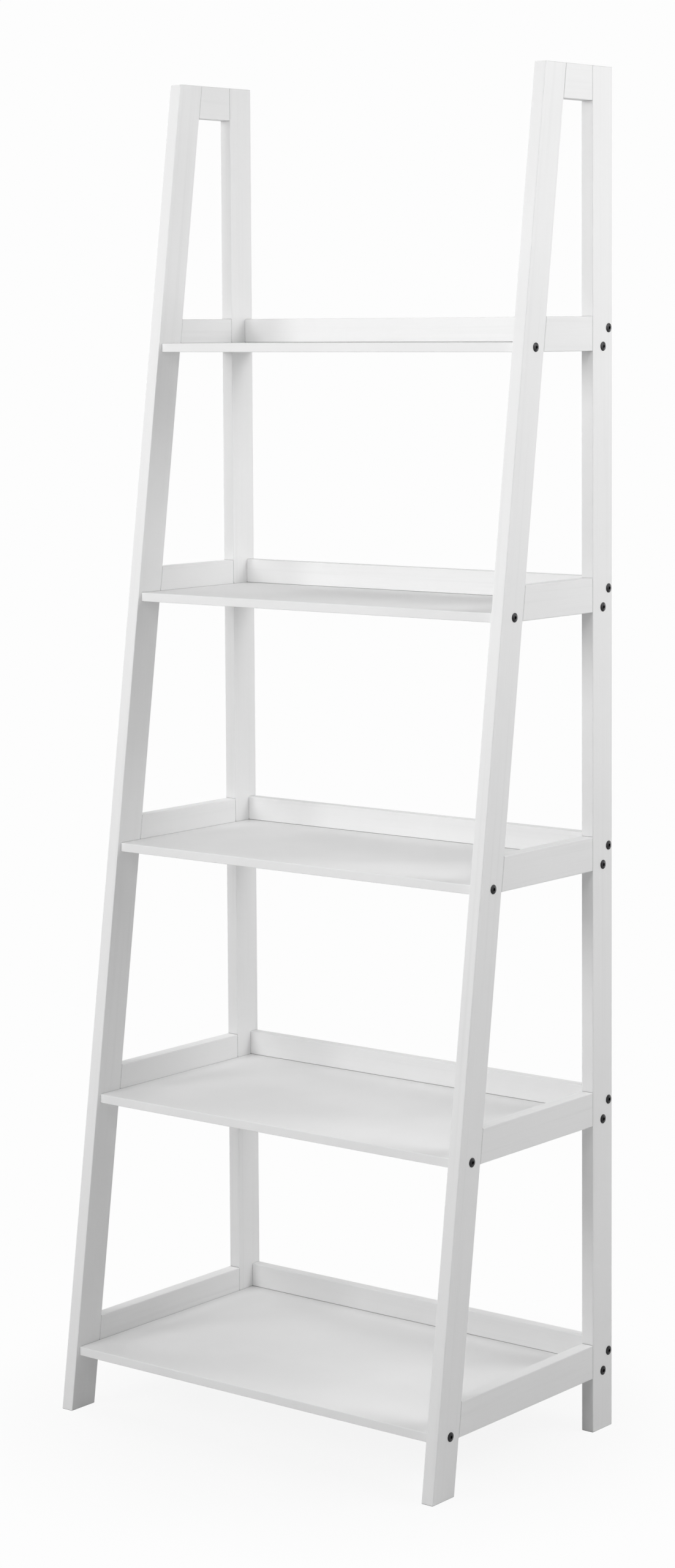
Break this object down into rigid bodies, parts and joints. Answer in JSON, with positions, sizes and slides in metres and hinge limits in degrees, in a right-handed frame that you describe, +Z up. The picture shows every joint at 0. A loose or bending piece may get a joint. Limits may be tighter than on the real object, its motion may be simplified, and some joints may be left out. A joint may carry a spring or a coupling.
{
  "type": "ladder bookcase",
  "caption": "Open ladder bookcase: A-shaped side frames with leaning front legs and upright rear legs carry screwed-in shelves that get shallower upwards, each with a low back rail.",
  "frame": {"origin": "on the floor, in the middle of the base between the four feet", "axes": "+X to the object's right seen from the front, +Y to the back, against the wall, +Z up"},
  "size_m": [0.6336, 0.3999, 1.8],
  "materials": {
    "frame_wood": "white satin paint on solid wood",
    "shelf_board": "white satin paint on smooth board",
    "screw_steel": "black oxide steel"
  },
  "bodies": {
    "root": {"left_front_leg": "frame_wood", "left_rear_leg": "frame_wood", "left_top_block": "frame_wood", "left_side_rail_1": "frame_wood", "left_side_rail_2": "frame_wood", "left_side_rail_3": "frame_wood", "left_side_rail_4": "frame_wood", "left_side_rail_5": "frame_wood", "left_screws": "screw_steel", "right_front_leg": "frame_wood", "right_rear_leg": "frame_wood", "right_top_block": "frame_wood", "right_side_rail_1": "frame_wood", "right_side_rail_2": "frame_wood", "right_side_rail_3": "frame_wood", "right_side_rail_4": "frame_wood", "right_side_rail_5": "frame_wood", "right_screws": "screw_steel", "shelf_1": "shelf_board", "back_rail_1": "frame_wood", "shelf_2": "shelf_board", "back_rail_2": "frame_wood", "shelf_3": "shelf_board", "back_rail_3": "frame_wood", "shelf_4": "shelf_board", "back_rail_4": "frame_wood", "shelf_5": "shelf_board", "back_rail_5": "frame_wood"}
  },
  "joints": []
}
